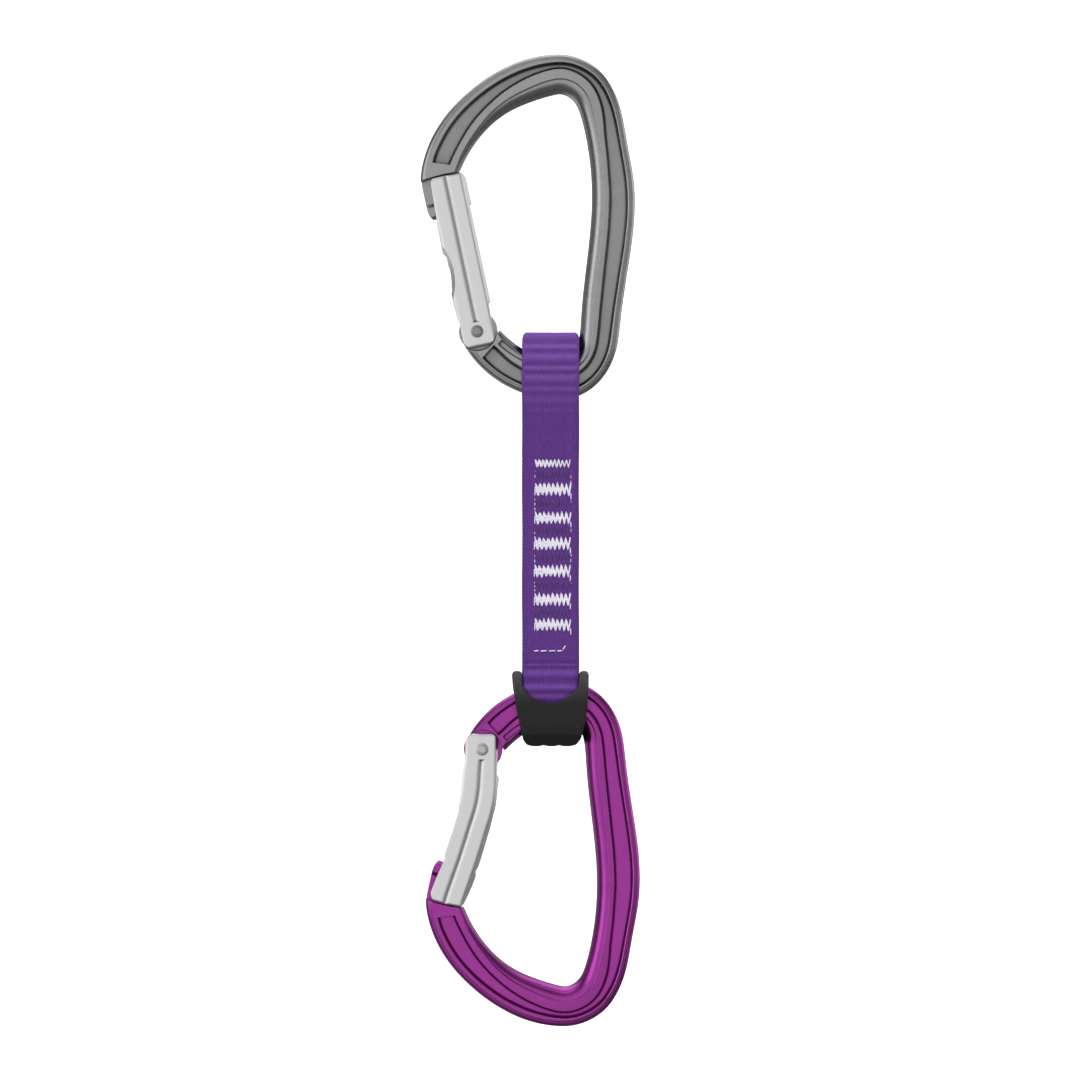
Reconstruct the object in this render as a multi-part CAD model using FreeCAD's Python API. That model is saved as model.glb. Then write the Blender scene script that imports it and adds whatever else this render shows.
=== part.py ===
import FreeCAD, Part
import math
import os

# Climbing quickdraw: two aluminium carabiners of one forging joined by a flat
# sewn sling.  The upper carabiner has a straight gate, the lower one a bent
# gate and a rubber keeper.  Millimetres, +Z up, front face towards -Y, spines
# towards +X, gates towards -X.  Origin: the bolt hanger seat, the lowest point
# of the upper carabiner's top basket on the mid plane.

os.makedirs("parts", exist_ok=True)
Vector = FreeCAD.Vector
Y_AXIS = Vector(0, 1, 0)
Z_AXIS = Vector(0, 0, 1)
ORIGIN = Vector(0, 0, 0)

# ------------------------------------------------------------ driving sizes
bar_in_thick = 9.6          # bar thickness across the rope side flange
bar_out_thick = 8.4         # bar thickness across the outer flange
web_thick = 3.5             # web left between the two side recesses
rim_round = 1.45            # rounding of the outer rim
rim_step = 0.14             # small step where the outer rim rounding starts
shoulder_step = 0.28        # small step where the rope side rounding starts
step_slope = 1.1            # run of either small step over its height
wall_run = 0.42             # sideways run of a recess wall over its height
recess_edge_y = 4.4         # distance from the mid plane where recess edges are given
cutter_y = 6.0              # reach of the recess cutters, outside the bar
clear_y = 9.0               # half length of cutters that pass both faces

pin_x, pin_z = -24.10, -68.90   # gate pivot
gate_lean = 11.9            # lean of the gate's plunger axis from +Z, degrees
gate_open = 32.0            # gate travel, degrees
nose_face_r = 46.3          # body end face, radius from the pivot
gate_tip_r = 45.95          # gate free end, radius from the pivot
nose_sweep = 34.0           # end face and nose reach this far left of +Z, degrees
nose_neck_half = 1.7        # half thickness of the nose's neck
nose_slot_gap = 0.25        # gap round the keylock nose
nose_inner_deg = 10.5       # inner side of the nose, degrees left of +Z

gate_thick = 9.6
gate_half = gate_thick / 2.0
gate_edge_round = 1.8       # outer side edges of a gate
gate_valley = 0.45          # depth of the valley line along the gate faces
flat_valley = 0.02          # the same where the faces are all but flat
gate_valley_half = 1.25     # half width of that valley
gate_end_round = 0.95       # rounding of the gate ends towards the faces
scoop_r = 17.0              # thumb scoop radius
scoop_along = 18.3          # scoop place along the gate axis, from the pivot
scoop_mid = -4.62           # scoop bottom on the mid plane, from the gate axis
scoop_face = -3.45          # scoop edge on the gate faces

lug_clear_r = 5.7           # clearance round the lug in the body
tongue_thick = 4.0          # body tongue between the gate lugs
gate_slot = 4.3             # slot between the gate lugs
gate_slot_r = 6.35          # reach of that slot from the pivot
rivet_d = 2.8
rivet_head_d = 3.6
face_gap = 0.03             # rivet heads and the tip rounding lie this far off the faces
tongue_bore_d = 2.9
lug_bore_d = 2.82

cam_r = 4.0                 # tongue radius under the plunger, gate closed
cam_rise = 2.0              # plunger lift at full opening
tip_r = 1.0                 # plunger tip radius
tip_gap = 0.08
tip_centre = cam_r + tip_r + tip_gap    # tip ball centre from the pivot, gate closed
plunger_d = 3.4
plunger_len = 9.0           # from the tip ball centre to the spring seat
plunger_bore_d = 3.5
bore_start = 5.0            # plunger bore, distances from the pivot
bore_end = 28.2
spring_od = 3.2
spring_wire = 0.42
spring_turns = 11.0
low_dx, low_dz = 1.44, -258.2   # lower carabiner: turned over, then moved

# ---------------------------------------------------------- forging tables
# Edges of the bar as (x, z) per section, from the gate end to the hinge end.
INNER = [
    (-28.82, -21.88), (-27.48, -19.03), (-25.88, -16.25), (-24.05, -13.60),
    (-21.98, -11.12), (-19.70, -8.85), (-17.14, -6.79), (-14.37, -5.04),
    (-11.41, -3.63), (-8.26, -2.42), (-5.00, -1.35), (-2.04, -0.55),
    (0.00, -0.30), (1.96, -0.95), (3.51, -2.14), (4.78, -3.98),
    (5.78, -6.67), (6.68, -9.95), (7.43, -13.45), (8.05, -17.14),
    (8.52, -20.85), (8.82, -24.49), (8.97, -27.99), (8.97, -31.50),
    (8.84, -35.06), (8.58, -38.69), (8.23, -42.41), (7.81, -46.14),
    (7.35, -49.95), (6.88, -53.81), (6.44, -57.72), (6.07, -61.71),
    (5.81, -65.71), (5.52, -69.20), (5.05, -72.10), (4.28, -74.05),
    (3.04, -75.40), (1.24, -76.16), (-0.98, -76.49), (-3.73, -76.38),
    (-6.62, -75.75), (-9.45, -74.62), (-12.07, -73.09), (-14.57, -71.19),
    (-16.87, -69.05), (-18.77, -66.97)]
OUTER = [
    (-40.40, -24.45), (-39.44, -18.83), (-37.50, -13.59), (-34.76, -8.75),
    (-31.34, -4.33), (-27.60, -0.60), (-23.92, 2.48), (-20.25, 5.01),
    (-16.37, 7.19), (-12.39, 8.94), (-8.10, 10.22), (-3.45, 10.96),
    (1.85, 10.90), (7.30, 9.10), (11.80, 5.80), (14.90, 1.35),
    (16.80, -3.15), (17.91, -7.33), (18.66, -11.39), (19.34, -15.26),
    (20.08, -19.19), (20.77, -23.21), (21.25, -27.42), (21.40, -31.63),
    (21.27, -35.80), (20.93, -39.88), (20.45, -43.85), (19.87, -47.78),
    (19.27, -51.63), (18.67, -55.43), (18.10, -59.18), (17.61, -62.87),
    (17.19, -66.57), (16.70, -70.70), (15.70, -75.30), (13.40, -80.30),
    (9.60, -84.70), (4.74, -87.50), (-0.65, -88.46), (-5.60, -88.03),
    (-10.20, -86.82), (-14.53, -85.03), (-18.59, -82.70), (-22.20, -79.86),
    (-25.34, -76.52), (-28.05, -72.41)]
LAST = len(INNER) - 1
SECTION_STEP = 3.8643       # bar length between neighbouring sections
# extra section ahead of the first: inner and outer edge
LEAD_INNER, LEAD_OUTER = (-29.90, -24.16), (-40.05, -27.60)

# (bar length, outer recess edge, inner recess edge), edges as a share of the
# bar width from the outer edge
RECESS = [(0.0, .240, .700), (9.3, .235, .700), (23.2, .235, .590),
          (34.8, .220, .470), (44.1, .205, .385), (52.2, .185, .400),
          (60.3, .170, .450), (69.6, .165, .550), (81.2, .163, .600),
          (92.8, .157, .604), (104.4, .160, .590), (116.0, .167, .562),
          (127.6, .190, .560), (139.2, .185, .530), (150.0, .175, .545),
          (158.9, .170, .575), (165.8, .172, .605), (175.0, .175, .620)]
# (inner, outer) section numbers of the recess; its two ends are slanted
RECESS_SECTIONS = [(0.15, 0.80)] + [(k, k) for k in range(2, 43)] + [(43.75, 43.55)]
# (section number, outer share, inner share, depth) of the side channel
CHANNEL = [(38.6, 0.745, 0.800, 0.02), (40.0, 0.725, 0.820, 0.22),
           (41.4, 0.705, 0.845, 0.50), (42.6, 0.695, 0.865, 0.68),
           (43.5, 0.695, 0.865, 0.72)]
# (bar length, length of the rope side rounding across the bar)
ROUND = [(0.0, 1.6), (14.0, 1.9), (28.0, 3.2), (40.0, 4.2), (52.0, 4.4),
         (64.0, 3.6), (116.0, 3.4), (127.0, 3.6), (140.0, 4.2), (156.0, 4.0),
         (163.0, 2.2), (168.0, 1.5), (175.0, 1.3)]

# keylock nose, half profile: (radius from the pivot, y)
NOSE = [(34.7, 2.1), (35.5, 3.0), (38.0, 3.0), (39.0, nose_neck_half)]
# outer side of the nose, (x, z)
NOSE_OUTER = [(-40.00, -22.90), (-40.22, -25.60), (-39.62, -29.28),
              (-38.92, -32.48), (-38.25, -34.70), (-37.25, -36.10)]
NOSE_ROOT = (-36.2, -37.2)

# tongue edge before and after the cam: (degrees from the gate axis, positive
# towards the rope side, radius from the pivot), then (x, z) inside the bar
TONGUE_OUTER = [(-128, 5.2), (-112, 5.35), (-95, 5.4), (-78, 5.4),
                (-62, 5.35), (-48, 5.05), (-36, 4.55), (-26, 4.15)]
TONGUE_INNER = [(44, 5.98), (60, 6.0), (75, 5.95), (84, 5.9)]
TONGUE_ROOT = [(-18.0, -70.0), (-20.5, -73.5), (-25.5, -75.0)]
cam_from = -14.0            # opening angles where the computed cam edge starts
cam_to = gate_open + 2.0    # and ends
cam_steps = 14


# ----------------------------------------------------------------- helpers
def xz_point(x, z, y=0.0):
    return Vector(x, y, z)


def line(start, end):
    return Part.LineSegment(start, end).toShape()


def arc(*points):
    return Part.Arc(*points).toShape()


def chain(points):
    """Straight edges from each point to the next."""
    return [line(start, end) for start, end in zip(points, points[1:])]


def bezier(*poles):
    curve = Part.BezierCurve()
    curve.setPoles(list(poles))
    return curve.toShape()


QUARTER_HANDLE = 0.5523     # Bezier handle of a quarter round


def quarter(start, end, corner):
    return bezier(start, start + (corner - start) * QUARTER_HANDLE,
                  end + (corner - end) * QUARTER_HANDLE, end)


def loft(wires):
    return Part.makeLoft(wires, True, False)


def polygon_face(points):
    return Part.Face(Part.makePolygon(points + points[:1]))


def prism(points, y0, y1):
    """Solid from a closed outline of (x, z)."""
    face = polygon_face([xz_point(x, z, y0) for x, z in points])
    return face.extrude(Vector(0, y1 - y0, 0))


def prism_along_x(points, x0, x1):
    """Solid from a closed outline of (y, z)."""
    return polygon_face([Vector(x0, y, z) for y, z in points]).extrude(Vector(x1 - x0, 0, 0))


def across(start, end, face=1):
    """Width from start to end, and a function that places (run, y) on it.

    The run is measured from start; face -1 mirrors y to the front.
    """
    direction = end - start
    width = direction.Length
    direction.normalize()

    def place(run, y):
        return start + direction * run + Y_AXIS * (y * face)
    return width, place


def interpolate(rows, length, column=1):
    """Value of a table column at a bar length, held constant past the ends."""
    if length <= rows[0][0]:
        return rows[0][column]
    for low, high in zip(rows, rows[1:]):
        if length <= high[0]:
            share = (length - low[0]) / (high[0] - low[0])
            return low[column] + share * (high[column] - low[column])
    return rows[-1][column]


def edge_point(points, number):
    """Point on a bar edge at a section number, whole or not."""
    index = min(max(int(math.floor(number)), 0), len(points) - 2)
    share = number - index
    (x0, z0), (x1, z1) = points[index], points[index + 1]
    return xz_point(x0 + share * (x1 - x0), z0 + share * (z1 - z0))


# ------------------------------------------------------- gate pivot and axis
lean = math.radians(gate_lean)
axis = Vector(-math.sin(lean), 0, math.cos(lean))     # from the pivot to the nose
side = Vector(math.cos(lean), 0, math.sin(lean))      # towards the rope side
pin = xz_point(pin_x, pin_z)


def opened_axes(degrees):
    """The axis and side directions once the gate is opened by an angle."""
    angle = math.radians(degrees)
    return (axis * math.cos(angle) + side * math.sin(angle),
            side * math.cos(angle) - axis * math.sin(angle))


def gate_point(sideways, along):
    """(x, z) of a place given in the closed gate's own directions."""
    point = pin + side * sideways + axis * along
    return (point.x, point.z)


def on_axis(shape):
    """Turn a shape built along +Z at the origin onto the plunger axis."""
    shape.rotate(ORIGIN, Y_AXIS, -gate_lean)
    shape.translate(pin)
    return shape


def from_pin(degrees_left, radius, y=0.0):
    angle = math.radians(degrees_left)
    return xz_point(pin_x - radius * math.sin(angle), pin_z + radius * math.cos(angle), y)


def pin_cylinder(radius, half_length=clear_y):
    return Part.makeCylinder(radius, 2 * half_length, pin - Y_AXIS * half_length, Y_AXIS)


def turned(profile, start, end):
    """Sector of revolution about the pivot, between angles left of +Z.

    The profile is (radius, y) pairs.
    """
    face = polygon_face([from_pin(start, radius, y) for radius, y in profile])
    return face.revolve(pin, Y_AXIS, -(end - start))


def mirror_profile(half):
    """Add the other half of a (radius, y) profile, across the mid plane."""
    return half + [(radius, -y) for radius, y in reversed(half)]


# -------------------------------------------------------------------- body
def bar_section(inner, outer, length, grow=0.0):
    """Closed outline of the bar without its recesses, across the bar."""
    width, place = across(outer, inner)
    rim_y = bar_out_thick / 2.0 + grow
    rope_y = bar_in_thick / 2.0 + grow
    shoulder = width - interpolate(ROUND, length)

    def face_points(sign):
        """Face points from the outer rim to the rope side, then two corners."""
        points = [(-grow, rim_y - rim_round * 1.35),
                  (-grow + rim_round, rim_y - rim_step),
                  (-grow + rim_round + rim_step * step_slope, rim_y),
                  (shoulder, rope_y),
                  (shoulder + shoulder_step * step_slope, rope_y - shoulder_step),
                  (-grow, rim_y - rim_step),
                  (width + grow, rope_y - shoulder_step)]
        points = [place(run, sign * y) for run, y in points]
        return points[:5], points[5], points[6]

    back, back_rim, back_rope = face_points(1)
    front, front_rim, front_rope = face_points(-1)
    crown = place(width + grow, 0)
    return Part.Wire([line(front[0], back[0]), quarter(back[0], back[1], back_rim)]
                     + chain(back[1:])
                     + [quarter(back[-1], crown, back_rope),
                        quarter(crown, front[-1], front_rope)]
                     + chain(front[:0:-1])
                     + [quarter(front[1], front[0], front_rim)])


def bar_sections(first, last, grow=0.0):
    return [bar_section(edge_point(INNER, k), edge_point(OUTER, k), k * SECTION_STEP, grow)
            for k in range(first, last + 1)]


def pocket_section(place, points):
    points = [place(run, y) for run, y in points]
    return Part.Wire(chain(points + points[:1]))


def recess(face):
    """Long pocket in one face of the bar, up to the slanted ends."""
    floor = web_thick / 2.0
    flare = wall_run / (recess_edge_y - floor) * (cutter_y - recess_edge_y)
    wires = []
    for inner_k, outer_k in RECESS_SECTIONS:
        width, place = across(edge_point(OUTER, outer_k), edge_point(INNER, inner_k), face)
        length = 0.5 * (inner_k + outer_k) * SECTION_STEP
        start = interpolate(RECESS, length, 1) * width
        end = interpolate(RECESS, length, 2) * width
        wires.append(pocket_section(place, [
            (start - flare, cutter_y),
            (start + wall_run * 0.85, floor + 0.38),
            (start + wall_run + 0.30, floor),
            (end - wall_run - 0.30, floor),
            (end - wall_run * 0.85, floor + 0.38),
            (end + flare, cutter_y)]))
    return loft(wires)


def side_channel(face):
    """Short shallow channel beside the long pocket, at the hinge end."""
    wires = []
    for number, start_share, end_share, depth in CHANNEL:
        width, place = across(edge_point(OUTER, number), edge_point(INNER, number), face)
        floor = bar_in_thick / 2.0 - 0.06 - depth
        start, end = start_share * width, end_share * width
        wires.append(pocket_section(place, [
            (start - 0.12, cutter_y), (start + 0.14, floor + 0.16),
            (start + 0.34, floor), (end - 0.34, floor - 0.05),
            (end - 0.14, floor + 0.12), (end + 0.12, cutter_y)]))
    return loft(wires)


def make_nose():
    """Keylock nose: thin neck and a wider bulb, turned about the pivot."""
    nose = turned(mirror_profile(NOSE + [(47.6, nose_neck_half)]), 4.0, nose_sweep)
    reach = 6.0
    outer = [xz_point(x, z, -reach) for x, z in NOSE_OUTER]
    curve = Part.BSplineCurve()
    curve.interpolate(outer)
    rest = [outer[-1], xz_point(*NOSE_ROOT, -reach),
            from_pin(nose_inner_deg, 33.5, -reach),
            from_pin(nose_inner_deg, 47.7, -reach), outer[0]]
    outline = Part.Face(Part.Wire([curve.toShape()] + chain(rest)))
    return nose.common(outline.extrude(Vector(0, 2 * reach, 0)))


def open_strip(degrees, half_width, start, end):
    """Strip of the gate's room near the pivot at one opening angle."""
    along, sideways = opened_axes(degrees)
    corners = [(-half_width, start), (half_width, start), (half_width, end), (-half_width, end)]
    points = [pin + sideways * run + along * distance for run, distance in corners]
    return [(point.x, point.z) for point in points]


def lug_room():
    """Room for the gate lugs on both faces of the tongue."""
    room = pin_cylinder(lug_clear_r)
    for degrees in (0.0, 8.0, 16.0, 24.0, gate_open + 1.0):
        room = room.fuse(prism(open_strip(degrees, 5.75, 0.0, 16.0), -clear_y, clear_y))
    return room.cut(Part.makeBox(60, tongue_thick, 80,
                                 Vector(-60, -tongue_thick / 2.0, -110)))


def tongue_outline():
    """Tongue outline about the pivot.  The plunger rides the rising part."""
    def polar(rows):
        return [pin + opened_axes(degrees)[0] * radius for degrees, radius in rows]

    # dwell, then a steady rise, as the inner parallel of the tip's path
    cam = []
    for i in range(cam_steps + 1):
        degrees = cam_from + i * (cam_to - cam_from) / cam_steps
        along, sideways = opened_axes(degrees)
        radius = tip_centre + cam_rise * max(degrees, 0.0) / gate_open
        slope = cam_rise / math.radians(gate_open) if degrees > 0 else 0.0
        normal = along * radius - sideways * slope
        normal.normalize()
        cam.append(pin + along * radius - normal * (tip_r + tip_gap))
    points = polar(TONGUE_OUTER) + cam + polar(TONGUE_INNER)
    return [(point.x, point.z) for point in points] + TONGUE_ROOT


def make_body():
    lead = bar_section(xz_point(*LEAD_INNER), xz_point(*LEAD_OUTER), 0.0)
    body = loft([lead] + bar_sections(0, LAST))
    body = body.cut(recess(1)).cut(recess(-1))
    body = body.cut(side_channel(1)).cut(side_channel(-1))
    # end face opposite the gate tip
    body = body.cut(turned([(30.0, -8), (30.0, 8), (nose_face_r, 8), (nose_face_r, -8)],
                           0.0, nose_sweep))
    body = body.fuse(make_nose())
    body = body.cut(lug_room())
    # clear the middle, then add the tongue with its cam
    middle = prism(open_strip(0.0, 7.0, 0.0, 20.0), -3, 3)
    middle = middle.fuse(prism(open_strip(gate_open, 6.2, 0.5, 20.0), -3, 3))
    body = body.cut(middle)
    body = body.fuse(prism(tongue_outline(), -tongue_thick / 2.0, tongue_thick / 2.0))
    body = body.cut(pin_cylinder(tongue_bore_d / 2.0))
    return body.removeSplitter()


# ------------------------------------------------------------------- gates
# Outlines of (x, z).  The first list holds the free end (arc of 3 points, end,
# arc from the 6th to the 8th point), then the rope side down to the lug.  The
# OUTER list goes up the outer side from the lug.
STRAIGHT = [(-37.53, -26.30), (-37.13, -25.12), (-36.15, -24.10),
            (-36.00, -22.90), (-29.20, -22.90), (-29.10, -23.00),
            (-27.78, -23.95), (-27.20, -25.40), (-25.85, -31.60),
            (-26.20, -32.30), (-25.68, -34.80), (-20.45, -59.10),
            (-20.40, -60.00), (-20.80, -60.70), (-20.59, -61.90)]
STRAIGHT_OUTER = [(-29.25, -66.50), (-30.00, -64.60), (-31.65, -57.80),
                  (-31.35, -57.20), (-32.95, -47.40), (-34.10, -46.30),
                  (-35.74, -37.50)]
BENT = [(-38.88, -27.75), (-38.62, -26.15), (-37.45, -24.90),
        (-37.30, -22.90), (-31.20, -22.90), (-31.00, -23.10),
        (-29.78, -23.90), (-29.05, -24.85), (-25.90, -31.60),
        (-26.05, -33.50), (-25.10, -35.20), (-24.50, -37.00),
        (-21.90, -45.70), (-20.16, -52.60), (-19.30, -60.20),
        (-19.95, -61.40), (-19.75, -64.00)]
BENT_OUTER = [(-29.10, -66.00), (-29.48, -63.70), (-30.36, -56.10),
              (-31.00, -50.90), (-32.96, -44.40), (-34.90, -38.80),
              (-34.95, -37.20), (-37.50, -31.40)]
# hinge end, a rounded square about the pivot: two arcs of three points.
# Straight gate: (sideways, along) the leaning axis; bent gate: (x, z) offsets.
LUG_STRAIGHT = [(4.75, -1.2), (4.25, -3.35), (2.6, -4.45),
                (-2.5, -4.45), (-4.1, -3.35), (-4.6, -1.2)]
LUG_BENT = [(4.6, -1.2), (4.2, -3.35), (2.6, -4.5),
            (-2.6, -4.5), (-4.25, -3.35), (-4.85, -1.2)]
# bent gate sections: outer side and rope side as (x, z)
BENT_SECTIONS = [((-29.75, -65.9), (-18.8, -65.9)), ((-30.5, -61.0), (-18.9, -60.0)),
                 ((-31.4, -54.6), (-19.7, -52.4)), ((-33.2, -48.6), (-21.7, -45.4)),
                 ((-35.7, -40.8), (-24.3, -37.0)), ((-38.2, -33.8), (-26.7, -30.0)),
                 ((-40.6, -26.4), (-29.2, -22.5))]


def gate_section(outer, rope, depth=gate_valley):
    """Section across a gate: two faces with a valley, steep rope side."""
    width, place = across(xz_point(*outer), xz_point(*rope))
    top, corner = gate_half, gate_edge_round
    middle, half = width * 0.5, gate_valley_half
    # edges of the back face as (run, y), outer side to rope side
    curves = [
        [(0, top - corner), (0, top - corner + corner * QUARTER_HANDLE),
         (corner - corner * QUARTER_HANDLE, top - 0.05), (corner, top - 0.05)],
        [(corner, top - 0.05), (middle - half, top)],
        [(middle - half, top), (middle - half * 0.5, top),
         (middle - half * 0.22, top - depth * 0.8), (middle, top - depth)],
        [(middle, top - depth), (middle + half * 0.22, top - depth * 0.8),
         (middle + half * 0.5, top), (middle + half, top)],
        [(middle + half, top), (width - 2.15, top)],
        [(width - 2.15, top), (width - 1.6, top),
         (width - 1.45, top - 0.10), (width - 1.25, top - 0.42)],
        [(width - 1.25, top - 0.42), (width - 0.22, top - 2.2)],
        [(width - 0.22, top - 2.2), (width - 0.08, top - 2.45),
         (width, top - 2.7), (width, top - 3.0)]]
    front = [[(run, -y) for run, y in reversed(curve)] for curve in reversed(curves)]
    outer_side = [front[-1][-1], curves[0][0]]
    rope_side = [curves[-1][-1], front[0][0]]

    def edge(curve):
        points = [place(run, y) for run, y in curve]
        return line(*points) if len(points) == 2 else bezier(*points)
    return Part.Wire([edge(curve) for curve in [outer_side] + curves + [rope_side] + front])


def gate_blank(bent):
    """Gate stock.  The valley runs out above the rivet: flat hinge end."""
    if bent:
        blank = loft([gate_section(*ends) for ends in BENT_SECTIONS])
        flat = gate_section((-29.75, -76.0), (-18.8, -76.0), flat_valley)
        return blank.fuse(Part.Face(flat).extrude(Vector(0, 0, 10.1)))
    upper = gate_section(gate_point(-5.5, 2.7), gate_point(6.0, 2.7))
    flat = gate_section(gate_point(-5.5, -7.5), gate_point(6.0, -7.5), flat_valley)
    blank = Part.Face(upper).extrude(axis * 46.0)
    return blank.fuse(Part.Face(flat).extrude(axis * 10.2))


def gate_silhouette(bent):
    """Gate outline seen from the front, as a solid through both faces."""
    if bent:
        outline, outer = BENT, BENT_OUTER
        lug = [(pin_x + x, pin_z + z) for x, z in LUG_BENT]
    else:
        outline, outer = STRAIGHT, STRAIGHT_OUTER
        lug = [gate_point(*point) for point in LUG_STRAIGHT]
    reach = 8.0
    outline, outer, lug = [[xz_point(x, z, -reach) for x, z in points]
                           for points in (outline, outer, lug)]
    edges = ([arc(*outline[0:3])] + chain(outline[2:6]) + [arc(*outline[5:8])]
             + chain(outline[7:] + lug[:1])
             + [arc(*lug[0:3]), line(lug[2], lug[3]), arc(*lug[3:6])]
             + chain(lug[5:] + outer + outline[:1]))
    return Part.Face(Part.Wire(edges)).extrude(Vector(0, 2 * reach, 0))


def tip_envelope():
    """Free end: turned about the pivot, rounded towards both faces."""
    shoulder_r = gate_tip_r - gate_end_round
    shoulder_y = gate_half + face_gap - gate_end_round
    angles = [math.radians(degrees) for degrees in range(90, -1, -9)]
    rounding = [(shoulder_r + gate_end_round * math.cos(angle),
                 -shoulder_y - gate_end_round * math.sin(angle)) for angle in angles]
    profile = mirror_profile([(0.02, -clear_y), (shoulder_r, -clear_y)] + rounding)
    return turned(profile, -60.0, 90.0).fuse(pin_cylinder(20.0))


def hinge_envelope(bent):
    """Block that rounds the lower edges of the hinge end."""
    low_z = min(z for x, z in (LUG_BENT if bent else LUG_STRAIGHT))
    width = 40
    block = Part.makeBox(width, gate_thick + 0.02, 70,
                         Vector(-width / 2.0, -gate_half - 0.01, low_z - 0.005))
    low_edges = [edge for edge in block.Edges
                 if abs(edge.Length - width) < 1e-6 and edge.CenterOfMass.z < low_z + 1]
    block = block.makeFillet(gate_end_round, low_edges)
    if bent:
        block.translate(pin)
        return block
    return on_axis(block)


def cut_scoop(gate):
    """Thumb scoop: a shallow hollow that flares towards both faces."""
    for face in (-1, 1):
        centre = pin + axis * scoop_along
        start = centre + side * (scoop_mid - scoop_r)
        end = centre + side * (scoop_face - scoop_r) + Y_AXIS * (face * gate_half)
        direction = end - start
        direction.normalize()
        gate = gate.cut(Part.makeCylinder(scoop_r, 12.0, start - direction * 0.4, direction))
    return gate


def keylock_slot():
    """Room for the nose, open to the outer side and to the end."""
    gap = nose_slot_gap
    gaps = [(-gap, gap * 0.8), (-0.1, gap), (0.12, gap), (gap, gap)]
    half = [(radius + more_r, y + more_y)
            for (radius, y), (more_r, more_y) in zip(NOSE, gaps)]
    half.append((48.5, nose_neck_half + gap))
    return turned(mirror_profile(half), nose_inner_deg - 0.3, 40.0)


def make_gate(bent):
    gate = gate_blank(bent)
    # plunger bore, open to the slot between the lugs
    gate = gate.cut(Part.makeCylinder(plunger_bore_d / 2.0, bore_end - bore_start,
                                      pin + axis * bore_start, axis))
    gate = gate.common(gate_silhouette(bent))
    gate = gate.common(tip_envelope())
    gate = gate.common(hinge_envelope(bent))
    if not bent:
        gate = cut_scoop(gate)
    gate = gate.cut(keylock_slot())
    # slot between the lugs, rivet holes
    gate = gate.cut(pin_cylinder(gate_slot_r, gate_slot / 2.0))
    gate = gate.cut(pin_cylinder(lug_bore_d / 2.0))
    return gate.removeSplitter()


def make_rivet():
    seat = gate_half + face_gap
    head_r = rivet_head_d / 2.0
    profile = mirror_profile([(0, -seat - 0.45), (head_r * 0.62, -seat - 0.42),
                              (head_r, -seat - 0.18), (head_r, -seat),
                              (rivet_d / 2.0, -seat)])
    face = polygon_face([Vector(radius, y, 0) for radius, y in profile])
    rivet = face.revolve(ORIGIN, Y_AXIS, 360)
    rivet.translate(pin)
    return rivet


def make_plunger():
    """Round-tipped cone, shaft, and a thin tail that enters the spring."""
    radius = plunger_d / 2.0
    tail_r, tail_len = 0.9, 2.2
    point_half = math.radians(38.0)       # half angle of the point
    arc_middle = math.radians(26)         # place of the arc's middle point
    # tangent point of the cone on the tip ball
    tangent_x = tip_r * math.cos(point_half)
    tangent_z = tip_centre - tip_r * math.sin(point_half)
    cone_height = (radius - tangent_x) / math.tan(point_half)
    seat_z = tip_centre + plunger_len
    tip = xz_point(0, tip_centre - tip_r)
    tip_side = xz_point(tip_r * math.sin(arc_middle),
                        tip_centre - tip_r * math.cos(arc_middle))
    tangent = xz_point(tangent_x, tangent_z)
    outline = [tangent, xz_point(radius, tangent_z + cone_height),
               xz_point(radius, seat_z), xz_point(tail_r, seat_z),
               xz_point(tail_r, seat_z + tail_len), xz_point(0, seat_z + tail_len), tip]
    wire = Part.Wire([arc(tip, tip_side, tangent)] + chain(outline))
    return on_axis(Part.Face(wire).revolve(ORIGIN, Z_AXIS, 360))


def make_spring():
    start = tip_centre + plunger_len + 0.06 + spring_wire / 2.0
    end = bore_end - 0.08 - spring_wire / 2.0
    helix = Part.makeHelix((end - start) / spring_turns, end - start,
                           (spring_od - spring_wire) / 2.0)
    helix.translate(Vector(0, 0, start))
    edge = helix.Edges[0]
    centre = edge.valueAt(edge.FirstParameter)
    tangent = edge.tangentAt(edge.FirstParameter)
    profile = Part.Wire([Part.Circle(centre, tangent, spring_wire / 2.0).toShape()])
    return on_axis(Part.Wire(helix.Edges).makePipeShell([profile], True, True))


def flip(shape):
    """Carry a piece of the upper carabiner over to the lower one."""
    copy = shape.copy()
    copy.rotate(ORIGIN, Vector(1, 0, 0), 180)
    copy.translate(Vector(low_dx, 0, low_dz))
    return copy


# ------------------------------------------------------------------- sling
sling_x0, sling_x1 = -11.20, 5.30   # webbing edges
web_ply = 1.75              # one webbing ply
upper_bend_z = -101.0       # webbing bends here, under the upper loop
twist_z = -126.4            # webbing twists about here
twist_gap = 0.15            # half gap left at the twist
lower_bend_z = -164.5       # webbing bends here, above the keeper
bend_gap = 1.15             # half gap left at a bending place
upper_arch_z = -76.05       # centre of the upper loop's arch
upper_half_y = 6.9          # half depth of the upper loop
lower_arch_z = -181.9       # the same for the lower loop
lower_half_y = 6.85
lower_arch_rise = 5.55
# bar tacks from the top: (centre z, height)
TACKS = [(-106.9, 1.8), (-114.4, 3.3), (-122.7, 3.5), (-130.1, 3.4),
         (-138.0, 3.5), (-146.2, 3.4), (-153.5, 3.3)]
tack_w = 10.4
tack_x = -2.3
row_z = -161.0              # end stitch row
row_height = 0.8
thread = 0.35               # thread build-up on the webbing face
NEEDLE_X = [tack_x + shift for shift in (-tack_w / 2.0 + 0.7, 0.0, tack_w / 2.0 - 0.7)]


def slab(points, grow=0.0):
    """Solid across the webbing width from a closed outline of (y, z)."""
    return prism_along_x(points, sling_x0 - grow, sling_x1 + grow)


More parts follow.
